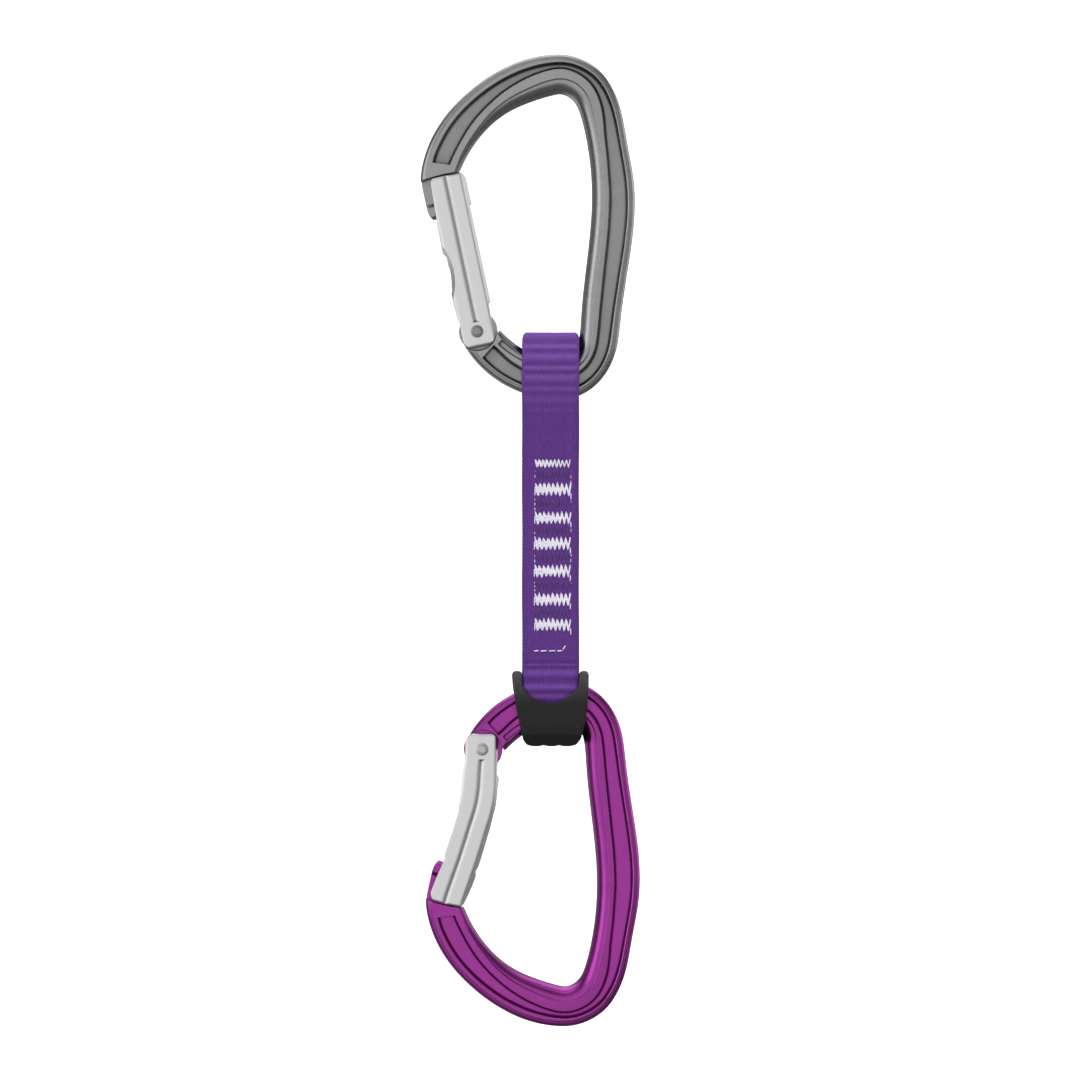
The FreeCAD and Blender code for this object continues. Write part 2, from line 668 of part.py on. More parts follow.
def loop_outline(arch_z, rise, leg, meet=()):
    """Outline of (y, z): an arch of signed rise, and two legs.

    The leg is given on the +Y side, from the arch on; meet is an optional
    point between the legs.
    """
    angles = [math.pi * i / 16 for i in range(17)]
    arch = [(leg[0][0] * math.cos(angle), arch_z + rise * math.sin(angle))
            for angle in angles]
    return arch + [(-y, z) for y, z in leg] + list(meet) + leg[::-1]


def make_upper_loop():
    inner_y = upper_half_y - web_ply
    outer = loop_outline(upper_arch_z, 6.95, [
        (upper_half_y, -85.6), (6.2, -88.2), (2.3, -96.4), (web_ply, -98.4),
        (web_ply, upper_bend_z + bend_gap)])
    inner = loop_outline(upper_arch_z, inner_y, [
        (inner_y, -86.2), (4.5, -88.6), (0.6, -96.6)], [(0.0, -97.6)])
    return slab(outer).cut(slab(inner))


def loop_waist(grow):
    """Outline of (x, z) that draws the lower loop in towards its end."""
    left, right = sling_x0 - grow, sling_x1 + grow
    return [(left, -160), (right, -160), (right, -179.5), (right - 0.9, -185.6),
            (right - 2.0, -190), (left + 2.0, -190), (left + 0.9, -185.6), (left, -179.5)]


def make_lower_loop():
    outer = loop_outline(lower_arch_z, -lower_arch_rise, [
        (lower_half_y, -171.7), (6.4, -169.8), (2.9, -166.6), (web_ply, -166.0),
        (web_ply, lower_bend_z - bend_gap)])
    inner = loop_outline(lower_arch_z, -3.95, [
        (5.12, -172.0), (4.85, -170.5), (1.4, -167.3)], [(0.0, -166.7)])
    return slab(outer).cut(slab(inner)).common(prism(loop_waist(0.0), -9, 9))


def make_tack(centre_z, height):
    """One bar tack: stitches on both faces and the thread through the web."""
    face_y = web_ply + 0.04
    x0, z0 = tack_x - tack_w / 2.0, centre_z - height / 2.0
    tack = Part.makeBox(tack_w, thread, height, Vector(x0, -face_y - thread, z0))
    tack = tack.fuse(Part.makeBox(tack_w, thread, height, Vector(x0, face_y, z0)))
    for x in NEEDLE_X:
        tack = tack.fuse(Part.makeCylinder(0.35, 2 * face_y + 0.2,
                                           Vector(x, -face_y - 0.1, centre_z), Y_AXIS))
    return tack.removeSplitter()


def make_sewn(top_z, bottom_z, stitch_heights):
    """Two plies sewn flat, with needle holes at the given heights."""
    sewn = Part.makeBox(sling_x1 - sling_x0, 2 * web_ply, top_z - bottom_z,
                        Vector(sling_x0, -web_ply, bottom_z))
    sewn = sewn.makeFillet(0.8, [edge for edge in sewn.Edges
                                 if abs(edge.tangentAt(edge.FirstParameter).z) > 0.9])
    reach = web_ply + 1.0
    for z in stitch_heights:
        for x in NEEDLE_X:
            sewn = sewn.cut(Part.makeCylinder(0.42, 2 * reach, Vector(x, -reach, z), Y_AXIS))
    return sewn


# ------------------------------------------------------------------ keeper
keeper_y = 12.0             # half length of the keeper's stock and cutters
pocket_gap = 0.17           # pocket clearance round the webbing arch
pocket_side_gap = 0.15      # pocket clearance at the webbing edges
bar_gap = 0.22              # clearance round the lower carabiner's bar
# front outline, (x, z)
KEEPER = [(-14.15, -167.6), (-13.60, -166.95), (-11.90, -166.9),
          (-11.25, -167.5), (-11.10, -169.0), (5.20, -169.0),
          (5.35, -167.5), (6.00, -166.9), (7.50, -166.9), (8.10, -167.5),
          (8.00, -172.0), (7.55, -178.0), (6.75, -183.0), (5.70, -186.4),
          (4.40, -188.0), (2.60, -188.45), (0.60, -188.45),
          (-0.60, -188.1), (-1.80, -188.45), (-3.60, -188.45),
          (-5.00, -188.1), (-6.20, -188.45), (-8.20, -188.45),
          (-9.80, -188.0), (-10.80, -186.7), (-11.65, -183.0),
          (-12.60, -178.5), (-13.80, -171.6)]
# back half of the side outline, (y, z)
KEEPER_SIDE = [(4.8, -166.6), (6.0, -167.6), (8.0, -170.8), (8.5, -173.2),
               (8.55, -182.2), (8.1, -185.0), (6.6, -187.4), (4.4, -188.8)]
# window that shows the webbing, (x, z)
WINDOW = [(-11.10, -160.0), (-11.10, -170.3), (-10.40, -172.3),
          (-8.60, -174.1), (-6.40, -175.4), (-4.20, -175.9),
          (-1.20, -175.7), (1.00, -174.9), (2.60, -173.6),
          (4.70, -171.8), (5.20, -170.2), (5.20, -160.0)]


def make_keeper():
    keeper = prism(KEEPER, -keeper_y, keeper_y)
    side_outline = KEEPER_SIDE + [(-y, z) for y, z in reversed(KEEPER_SIDE)]
    keeper = keeper.common(prism_along_x(side_outline, -30, 30))
    # pocket for the webbing loop and all it wraps
    pocket = slab(loop_outline(lower_arch_z, -lower_arch_rise - pocket_gap, [
        (lower_half_y + pocket_gap, -171.6), (6.6, -169.6), (3.2, -166.4),
        (2.8, -165.0)]), pocket_side_gap)
    waist = prism(loop_waist(pocket_side_gap), -keeper_y, keeper_y)
    keeper = keeper.cut(pocket.common(waist))
    # window, front and back
    keeper = keeper.cut(prism(WINDOW, -keeper_y, -2.5)).cut(prism(WINDOW, 2.5, keeper_y))
    # passage for the bar of the lower carabiner
    keeper = keeper.cut(flip(loft(bar_sections(33, LAST, bar_gap))))
    # loose slivers are left out
    return max(keeper.Solids, key=lambda solid: solid.Volume)


# ------------------------------------------------------------------- parts
upper = {"body": make_body(), "gate": make_gate(False), "gate_rivet": make_rivet(),
         "gate_plunger": make_plunger(), "gate_spring": make_spring()}
lower = dict(upper, gate=make_gate(True))

parts = {"upper_" + name: shape for name, shape in upper.items()}
for name, shape in lower.items():
    parts["lower_" + name] = flip(shape)
parts["sling_upper_loop"] = make_upper_loop()
parts["sling_sewn_top"] = make_sewn(
    upper_bend_z - bend_gap, twist_z + twist_gap, [z for z, height in TACKS if z > twist_z])
parts["sling_sewn_bottom"] = make_sewn(
    twist_z - twist_gap, lower_bend_z + bend_gap,
    [z for z, height in TACKS if z < twist_z] + [row_z])
parts["sling_lower_loop"] = make_lower_loop()
for number, (z, height) in enumerate(TACKS, 1):
    parts["bar_tack_%d" % number] = make_tack(z, height)
parts["end_stitch_row"] = make_tack(row_z, row_height)
parts["keeper"] = make_keeper()

for name, shape in parts.items():
    shape.exportStep("parts/%s.step" % name)
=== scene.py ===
# A climbing quickdraw hanging straight down: grey carabiner on top, sewn purple webbing,
# magenta carabiner below in a rubber keeper. Z is up and the origin is above the webbing.
# X runs across the webbing and -Y faces the camera. The webbing's two plies lie either
# side of the plane Y = 0.
import math
import random

import bmesh
import bpy
import numpy as np
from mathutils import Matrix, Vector


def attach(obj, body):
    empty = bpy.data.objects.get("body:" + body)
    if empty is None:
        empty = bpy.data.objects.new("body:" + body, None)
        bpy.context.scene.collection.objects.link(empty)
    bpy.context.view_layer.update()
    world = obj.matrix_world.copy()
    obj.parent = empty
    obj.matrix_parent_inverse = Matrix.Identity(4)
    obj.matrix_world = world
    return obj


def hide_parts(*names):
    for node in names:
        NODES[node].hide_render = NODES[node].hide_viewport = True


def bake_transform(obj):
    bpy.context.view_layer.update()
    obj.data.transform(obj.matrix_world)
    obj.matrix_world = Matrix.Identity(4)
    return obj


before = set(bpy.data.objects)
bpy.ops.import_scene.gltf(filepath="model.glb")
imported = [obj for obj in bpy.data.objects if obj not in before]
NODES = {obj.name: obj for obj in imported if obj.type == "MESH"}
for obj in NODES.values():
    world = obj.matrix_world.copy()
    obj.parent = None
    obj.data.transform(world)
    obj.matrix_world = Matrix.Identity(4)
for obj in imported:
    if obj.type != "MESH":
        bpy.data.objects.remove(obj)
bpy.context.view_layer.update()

MM = 0.001                      # webbing and thread are worked out in mm, meshes are in metres
dice = random.Random(7)


# ------------------------------------------------------------ node helpers
class Nodes:
    """A node tree with short ways to add nodes; a value may be a number or a node output."""

    def __init__(self, owner):
        owner.use_nodes = True
        self.tree = owner.node_tree
        self.tree.nodes.clear()

    def node(self, kind, **settings):
        made = self.tree.nodes.new(kind)
        for key, value in settings.items():
            setattr(made, key, value)
        return made

    def put(self, socket, value):
        if hasattr(value, "is_output"):
            self.tree.links.new(value, socket)
        else:
            socket.default_value = value

    def math(self, operation, *values, clamp=False):
        made = self.node("ShaderNodeMath", operation=operation, use_clamp=clamp)
        for socket, value in zip(made.inputs, values):
            self.put(socket, value)
        return made.outputs[0]

    def plus(self, a, b, clamp=False):
        return self.math("ADD", a, b, clamp=clamp)

    def minus(self, a, b):
        return self.math("SUBTRACT", a, b)

    def times(self, a, b, clamp=False):
        return self.math("MULTIPLY", a, b, clamp=clamp)

    def dot(self, a, b):
        made = self.node("ShaderNodeVectorMath", operation="DOT_PRODUCT")
        self.put(made.inputs[0], a)
        self.put(made.inputs[1], b)
        return made.outputs["Value"]

    def remap(self, value, source, target=(0.0, 1.0), **settings):
        """Carry the source range onto the target range; either may run downwards."""
        made = self.node("ShaderNodeMapRange", **settings)
        for socket, number in zip(made.inputs, (value, *source, *target)):
            self.put(socket, number)
        return made.outputs[0]


class Shader(Nodes):
    """A new material built round one Principled node."""

    def __init__(self, name):
        self.material = bpy.data.materials.new(name)
        super().__init__(self.material)
        self.out = self.node("ShaderNodeOutputMaterial")
        self.principled = self.node("ShaderNodeBsdfPrincipled")
        self.put(self.out.inputs[0], self.principled.outputs[0])

    def surface(self, inputs):
        for key, value in inputs.items():
            self.put(self.principled.inputs[key], value)

    def coords(self, scale=(1000, 1000, 1000), source="Object"):
        """Scaled coordinates; the default scale gives object coordinates in mm."""
        made = self.node("ShaderNodeMapping")
        made.inputs["Scale"].default_value = scale
        self.put(made.inputs["Vector"], self.node("ShaderNodeTexCoord").outputs[source])
        return made.outputs[0]

    def axes(self, vector):
        made = self.node("ShaderNodeSeparateXYZ")
        self.put(made.inputs[0], vector)
        return made.outputs

    def noise(self, vector, scale=1.0, detail=3, rough=0.5):
        made = self.node("ShaderNodeTexNoise")
        self.put(made.inputs["Vector"], vector)
        made.inputs["Scale"].default_value = scale
        made.inputs["Detail"].default_value = detail
        made.inputs["Roughness"].default_value = rough
        return made.outputs[0]

    def ramp(self, factor, stops):
        made = self.node("ShaderNodeValToRGB")
        elements = made.color_ramp.elements
        while len(elements) < len(stops):
            elements.new(0.5)
        for element, (position, color) in zip(elements, stops):
            element.position = position
            element.color = (*color, 1)
        self.put(made.inputs[0], factor)
        return made.outputs[0]

    def mix(self, factor, first, second):
        made = self.node("ShaderNodeMix", data_type="RGBA", blend_type="MIX")
        self.put(made.inputs[0], factor)
        for index, color in ((6, first), (7, second)):
            self.put(made.inputs[index], (*color, 1) if isinstance(color, tuple) else color)
        return made.outputs[2]

    def bump(self, height, strength, distance, normal=None):
        made = self.node("ShaderNodeBump")
        made.inputs["Strength"].default_value = strength
        made.inputs["Distance"].default_value = distance
        self.put(made.inputs["Height"], height)
        if normal is not None:
            self.put(made.inputs["Normal"], normal)
        return made.outputs[0]

    def bevel(self, radius, samples=6):
        made = self.node("ShaderNodeBevel", samples=samples)
        made.inputs["Radius"].default_value = radius
        return made.outputs[0]

    def facing(self, rounded):
        """1 on flats, falling where the bevelled normal leaves the true one."""
        return self.dot(rounded, self.node("ShaderNodeNewGeometry").outputs["Normal"])

    def occlusion(self, distance, **settings):
        made = self.node("ShaderNodeAmbientOcclusion", **settings)
        made.inputs["Distance"].default_value = distance
        return made.outputs["AO"]


def grey(level):
    return (level, level, level)


def shade(color, factor, lift=0.0):
    return tuple(min(1, c * factor + lift) for c in color)


# --------------------------------------------------------------- materials
def metal(name, color, rough=0.26, rough_spread=0.07, grain=14.0, grain_height=0.0000035,
          edge=0.25, scratch_and_highlight_color=None, bevel=0.00042, scratch=0.10, crease=0.75, coat=0.0,
          clouding=1.0, hollow=0.25, reach=0.0042, band=(0.45, 0.92), line=0.72):
    """Smooth metal with a painted highlight on outer edges, painted shade in creases and hollows,
    and faint scratches. Lengths are in metres.

    crease, line and hollow set the painted shade in tight creases, inner corners and wide
    hollows;
    edge sets the painted highlight on outer edges, in the colour given for highlights and
    scratches;
    reach is how far a hollow is felt and band the occlusion over which its painted shade darkens.
    """
    shader = Shader(name)
    place = shader.coords()
    rounded = shader.bevel(bevel)
    facing = shader.facing(rounded)
    near = shader.occlusion(distance=0.0010, samples=10, only_local=True)
    wide = shader.occlusion(distance=reach, samples=6, only_local=True)
    # Occlusion looking into the metal tells an outer corner from an inner one.
    within = shader.occlusion(distance=0.0007, samples=8, inside=True, only_local=True)
    outer = shader.remap(within, (0.80, 0.96), (1.0, 0.0))
    # Masks for a painted highlight on outer edges and painted shade along inner corners.
    painted_highlight_mask = shader.times(shader.remap(facing, (0.97, 0.80)), outer)
    painted_corner_shade_mask = shader.times(shader.remap(facing, (0.995, 0.93)), shader.minus(1.0, outer))

    cloud = shader.noise(place, scale=0.22, detail=4, rough=0.55)
    fine = shader.noise(place, scale=grain, detail=2, rough=0.6)
    patches = shader.noise(place, scale=1.9, rough=0.6)
    # Long thin scratches in two directions, kept to patches.
    along_z = shader.noise(shader.coords((2600, 2600, 120)), detail=2)
    along_x = shader.noise(shader.coords((180, 2400, 2100)), detail=2)
    scratches = shader.math("MAXIMUM", shader.remap(along_z, (0.66, 0.74)),
                            shader.remap(along_x, (0.68, 0.76)))
    scratches = shader.times(scratches, shader.remap(patches, (0.45, 0.7)), clamp=True)

    # A pale colour for the scratches and for the painted edge highlight.
    scratch_and_highlight = scratch_and_highlight_color or shade(color, 1.5, lift=0.05)
    tone = shader.mix(shader.remap(cloud, (0.3, 0.7)),
                      shade(color, 1 - 0.06 * clouding), shade(color, 1 + 0.05 * clouding))
    tone = shader.mix(shader.times(scratches, scratch), tone, scratch_and_highlight)
    # Painted shade: the colour darkens in tight creases, along inner corners and in wide hollows.
    painted_shade = shader.times(shader.remap(near, (0.55, 0.92), (crease, 0.0)),
                        shader.remap(patches, (0.25, 0.75), (0.85, 1.0)))
    painted_shade = shader.math("MAXIMUM", painted_shade, shader.times(painted_corner_shade_mask, line))
    painted_shade = shader.plus(painted_shade, shader.remap(wide, band, (hollow, 0.0)), clamp=True)
    tone = shader.mix(painted_shade, tone, shade(color, 0.10))
    # Painted highlight along outer edges, as strong as edge says.
    tone = shader.mix(shader.times(painted_highlight_mask, edge), tone, scratch_and_highlight)

    roughness = shader.remap(cloud, (0.2, 0.8), (rough - rough_spread, rough + rough_spread))
    roughness = shader.plus(roughness, shader.times(scratches, 0.12))
    roughness = shader.plus(roughness, shader.remap(fine, (0.2, 0.8), (-0.02, 0.03)), clamp=True)
    height = shader.plus(fine, shader.times(scratches, -0.8))
    shader.surface({
        "Base Color": tone,
        "Metallic": 1.0,
        "Coat Weight": coat,
        "Coat Roughness": 0.22,
        "Coat IOR": 1.6,
        "Roughness": roughness,
        "Normal": shader.bump(height, strength=0.6, distance=grain_height, normal=rounded),
    })
    return shader.material


def machined(name, color, center_x, center_z, rough=0.3, ring_pitch=0.22, groove_radius=1.12):
    """Turned steel: rings, in mm, about a cross pin whose axis runs along Y."""
    shader = Shader(name)
    place = shader.coords()
    x, _, z = shader.axes(place)
    off_x = shader.minus(x, center_x)
    off_z = shader.minus(z, center_z)
    radius = shader.math("SQRT", shader.plus(shader.times(off_x, off_x),
                                             shader.times(off_z, off_z)))
    rings = shader.math("SINE", shader.times(radius, 2 * math.pi / ring_pitch))
    off_groove = shader.math("ABSOLUTE", shader.minus(radius, groove_radius))
    groove = shader.remap(off_groove, (0.0, 0.14), (1.0, 0.0))
    dirt = shader.noise(place, scale=3.0, detail=4, rough=0.6)
    tone = shader.mix(shader.remap(dirt, (0.35, 0.75), (0, 0.5)), color, shade(color, 0.55))
    # Painted shade darkens the ring groove round the pin; the groove is also sunk by the bump
    # below.
    tone = shader.mix(shader.times(groove, 0.5), tone, grey(0.05))
    height = shader.minus(shader.times(rings, 0.08), shader.times(groove, 1.2))
    shader.surface({
        "Base Color": tone,
        "Metallic": 1.0,
        "Roughness": shader.remap(dirt, (0.2, 0.8), (rough - 0.06, rough + 0.12)),
        "Normal": shader.bump(height, strength=0.8, distance=0.00006,
                              normal=shader.bevel(0.00015)),
    })
    return shader.material


def fabric(name):
    """Woven tape with painted shade from its relief: darker in the weave's hollows and fold
    valleys, lighter on yarn crowns and fold crests; with fibres and slubs along the yarns.
    """
    shader = Shader(name)
    weave_and_fold_shade = shader.node("ShaderNodeAttribute", attribute_name="weave_and_fold_shade").outputs["Fac"]
    fibre = shader.noise(shader.coords((26, 5, 1), source="UV"), rough=0.65)
    slub = shader.noise(shader.coords((1.3, 0.5, 1), source="UV"), rough=0.55)
    # Painted shade: the relief value picks darker purples in hollows and lighter ones on crowns.
    tone = shader.ramp(weave_and_fold_shade, [(0.0, (0.018, 0.004, 0.044)), (0.35, (0.058, 0.0150, 0.130)),
                              (0.75, (0.106, 0.034, 0.215)), (1.0, (0.160, 0.062, 0.295))])
    tone = shader.mix(shader.remap(fibre, (0.30, 0.75), (0.0, 0.34)), tone, (0.165, 0.064, 0.330))
    tone = shader.mix(shader.remap(slub, (0.42, 0.72), (0.0, 0.26)), tone, (0.040, 0.011, 0.115))
    # The tape grows paler up into the top loop.
    z = shader.axes(shader.coords())[2]
    tone = shader.mix(shader.remap(z, (-94.0, -76.0), (0.0, 0.26)), tone, (0.235, 0.100, 0.410))
    height = shader.plus(shader.times(fibre, 0.6), shader.times(slub, 0.4))
    shader.surface({
        "Base Color": tone,
        "Roughness": shader.remap(fibre, (0.2, 0.8), (0.62, 0.86)),
        "Sheen Weight": 0.14,
        "Sheen Roughness": 0.45,
        "Sheen Tint": (0.52, 0.30, 0.9, 1),
        "Specular IOR Level": 0.18,
        "Normal": shader.bump(height, strength=0.75, distance=0.00009),
    })
    return shader.material


def thread(name, color, painted_shade):
    """Twisted sewing thread: UV x runs round it, UV y along it."""
    shader = Shader(name)
    around, along, _ = shader.axes(shader.node("ShaderNodeTexCoord").outputs["UV"])
    twist = shader.plus(shader.times(along, 14.0), shader.times(around, 2 * math.pi * 2))
    ply = shader.remap(shader.math("SINE", twist), (-1, 1))
    fibre = shader.noise(shader.coords((9000, 9000, 2200)), detail=2, rough=0.6)
    # Painted shade in the grooves between the twisted plies; the same dark colour also flecks the
    # fibres.
    tone = shader.mix(ply, painted_shade, color)
    tone = shader.mix(shader.remap(fibre, (0.35, 0.7), (0.0, 0.25)), tone, painted_shade)
    height = shader.plus(ply, shader.times(fibre, 0.3))
    shader.surface({
        "Base Color": tone,
        "Roughness": 0.55,
        "Sheen Weight": 0.2,
        "Normal": shader.bump(height, strength=0.7, distance=0.00005),
    })
    return shader.material


def rubber(name):
    """Dusty black rubber, with a painted highlight on its edges and towards the tops of its
    horns, and painted shade in its hollows.
    """
    shader = Shader(name)
    place = shader.coords()
    fine = shader.noise(place, scale=7.0, detail=4, rough=0.65)
    broad = shader.noise(place, scale=0.35)
    dust = shader.noise(place, scale=1.4, detail=5, rough=0.7)
    tone = shader.mix(shader.remap(dust, (0.52, 0.80), (0.0, 0.35)),
                      (0.0070, 0.0070, 0.0074), (0.026, 0.026, 0.0255))
    # Painted highlight along the edges.
    facing = shader.facing(shader.bevel(0.0007, samples=8))
    tone = shader.mix(shader.remap(facing, (0.995, 0.90), (0.0, 0.75)), tone,
                      (0.085, 0.085, 0.084))
    # Painted highlight towards the tops of the horns, broken up by the dust noise.
    z = shader.axes(place)[2]
    painted_horn_highlight = shader.times(shader.remap(z, (-176.0, -168.5), (0.0, 0.85)),
                         shader.remap(dust, (0.30, 0.65), (0.7, 1.0)))
    tone = shader.mix(painted_horn_highlight, tone, (0.052, 0.053, 0.052))
    # Painted shade in the hollows.
    near = shader.occlusion(distance=0.0030, samples=6)
    tone = shader.mix(shader.remap(near, (0.30, 0.85), (0.6, 0.0)), tone, grey(0.004))
    height = shader.plus(shader.times(fine, 0.7), shader.times(broad, 0.5))
    shader.surface({
        "Base Color": tone,
        "Roughness": shader.remap(broad, (0.25, 0.75), (0.40, 0.54)),
        "Specular IOR Level": 0.36,
        "Normal": shader.bump(height, strength=0.55, distance=0.00007),
    })
    return shader.material


def backdrop_material(name):
    """Near-white matte that glows a little to the camera only."""
    shader = Shader(name)
    mottle = shader.noise(shader.coords((10, 10, 10)), scale=3.0)
    shader.surface({"Base Color": shader.mix(mottle, grey(0.90), grey(0.93)), "Roughness": 0.9})
    seen = shader.node("ShaderNodeLightPath").outputs["Is Camera Ray"]
    glow = shader.node("ShaderNodeEmission")
    shader.put(glow.inputs["Color"], (0.93, 0.93, 0.935, 1))
    shader.put(glow.inputs["Strength"], shader.times(seen, 0.80))
    both = shader.node("ShaderNodeAddShader")
    shader.put(both.inputs[0], shader.principled.outputs[0])
    shader.put(both.inputs[1], glow.outputs[0])
    shader.put(shader.out.inputs[0], both.outputs[0])
    return shader.material


GREY = metal("anodised_grey", (0.415, 0.415, 0.420), rough=0.27, rough_spread=0.03, edge=0.50,
             grain_height=0.0000014, scratch_and_highlight_color=(0.95, 0.95, 0.96), coat=0.15, bevel=0.00040,
             hollow=0.46, crease=0.72)
MAGENTA = metal("anodised_magenta", (0.430, 0.050, 0.388), rough=0.25, rough_spread=0.03,
                edge=0.50, grain_height=0.0000014, scratch_and_highlight_color=(1.0, 0.52, 0.96), coat=0.18,
                hollow=0.0, crease=0.55)
SILVER = metal("gate_silver", grey(0.92), rough=0.38, rough_spread=0.03, grain=9.0,
               grain_height=0.000006, scratch_and_highlight_color=grey(0.98), bevel=0.00045, crease=0.60,
               clouding=0.3, scratch=0.05, hollow=0.72, reach=0.0034, band=(0.70, 0.97),
               line=0.22)
RIVET_UPPER = machined("rivet_upper", grey(0.40), center_x=-24.10, center_z=-68.90)
RIVET_LOWER = machined("rivet_lower", grey(0.72), center_x=-22.66, center_z=-189.30)
STEEL = metal("plunger_steel", (0.42, 0.42, 0.43), rough=0.30, bevel=0.0002)
SPRING = metal("spring_steel", (0.34, 0.34, 0.35), rough=0.34, bevel=0.0001)
PURPLE = fabric("webbing_purple")
WHITE = thread("thread_white", color=(0.96, 0.95, 0.97), painted_shade=(0.66, 0.60, 0.78))
LILAC = thread("thread_purple", color=(0.160, 0.066, 0.310), painted_shade=(0.062, 0.019, 0.150))
RUBBER = rubber("keeper_rubber")

for part, upper_material, lower_material in (
        ("body", GREY, MAGENTA), ("gate", SILVER, SILVER),
        ("gate_rivet", RIVET_UPPER, RIVET_LOWER),
        ("gate_plunger", STEEL, STEEL), ("gate_spring", SPRING, SPRING)):
    for level, material in (("upper_", upper_material), ("lower_", lower_material)):
        slots = NODES[level + part].data.materials
        slots.clear()
        slots.append(material)


def add_object(name, data):
    made = bpy.data.objects.new(name, data)
    bpy.context.scene.collection.objects.link(made)
    return made


def smooth_all(mesh):
    mesh.polygons.foreach_set("use_smooth", [True] * len(mesh.polygons))


def mesh_object(name, verts, faces, material, uv=None, weave_and_fold_shade=None):
    """A smooth mesh in metres, with an optional UV and a painted shade value for each vertex."""
    mesh = bpy.data.meshes.new(name)
    mesh.from_pydata([tuple(p) for p in verts], [], faces)
    mesh.update()
    if uv is not None:
        layer = mesh.uv_layers.new(name="UVMap")
        corners = np.zeros(len(mesh.loops), np.int32)
        mesh.loops.foreach_get("vertex_index", corners)
        layer.data.foreach_set("uv", np.asarray(uv, np.float32)[corners].ravel())
    if weave_and_fold_shade is not None:
        attribute = mesh.attributes.new("weave_and_fold_shade", "FLOAT", "POINT")
        attribute.data.foreach_set("value", np.asarray(weave_and_fold_shade, np.float32))
    mesh.materials.append(material)
    smooth_all(mesh)
    return add_object(name, mesh)


# ----------------------------------------------------------- webbing, in mm
TAPE_LEFT, TAPE_RIGHT = -11.20, 5.30
TAPE_X, HALF_WIDTH = (TAPE_LEFT + TAPE_RIGHT) / 2, (TAPE_RIGHT - TAPE_LEFT) / 2
TAPE_THICK = 1.66
PLY_Y = 0.88                        # ply centre from the mid plane
SEWN_TOP, SEWN_BOTTOM = -105.30, -161.70    # where the tape pieces meet
YARN_WIDTH, WEAVE_PITCH = 0.58, 1.10        # across the tape, along the tape
WEAVE_SHIFT = (60.0, 400.0)         # offset of the weave across and along
FACE_POINTS, TAPE_STEP = 124, 0.20  # points across a face, step along the tape


def resample(points, step):
    """Catmull-Rom path through (y, z) points, sampled evenly, with the distances along it."""
    points = np.array(points, float)
    padded = np.vstack([2 * points[0] - points[1], points, 2 * points[-1] - points[-2]])
    dense = []
    for i in range(1, len(padded) - 2):
        before, start, end, after = padded[i - 1:i + 3]
        for t in np.linspace(0, 1, 24, endpoint=False):
            dense.append(0.5 * ((2 * start) + (end - before) * t
                                + (2 * before - 5 * start + 4 * end - after) * t * t
                                + (3 * start - before - 3 * end + after) * t ** 3))
    dense.append(points[-1])
    dense = np.array(dense)
    run = np.r_[0, np.cumsum(np.hypot(*np.diff(dense, axis=0).T))]
    count = max(2, int(round(run[-1] / step)))
    even = np.linspace(0, run[-1], count + 1)
    return np.c_[np.interp(even, run, dense[:, 0]), np.interp(even, run, dense[:, 1])], even


def weave(across, along):
    """Height 0..1 of the woven face."""
    column = np.floor(across / YARN_WIDTH)
    in_yarn = (across / YARN_WIDTH - column - 0.5) * 2
    crown = np.sqrt(np.clip(1 - 0.9 * in_yarn * in_yarn, 0, 1))
    stagger = np.where(np.mod(column, 2) > 0.5, 0.5, 0.0)
    lift = 0.5 + 0.5 * np.cos(2 * np.pi * (along / WEAVE_PITCH + stagger))
    return crown * (0.55 + 0.45 * np.sqrt(lift))


